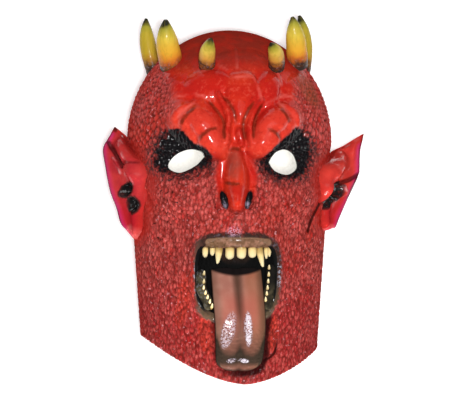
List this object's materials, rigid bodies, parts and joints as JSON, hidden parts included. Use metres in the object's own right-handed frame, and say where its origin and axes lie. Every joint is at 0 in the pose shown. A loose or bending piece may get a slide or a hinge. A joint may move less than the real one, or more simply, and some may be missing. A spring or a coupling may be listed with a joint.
{
  "type": "latex devil mask",
  "caption": "Hollow overhead rubber mask of a horned devil: frowning brow, pointed ears, fangs and a long hanging tongue, lying on its back.",
  "frame": {"origin": "middle of the flat spot at the back of the head, on the surface that the mask lies on", "axes": "+Z out through the face, +Y towards the crown and horns, +X towards the mask's left ear, which is on the viewer's right"},
  "size_m": [0.2328, 0.3249, 0.214],
  "materials": {
    "latex": "painted latex, glossy on the brow and duller on the scales"
  },
  "bodies": {
    "root": {"mask": "latex"}
  },
  "joints": []
}
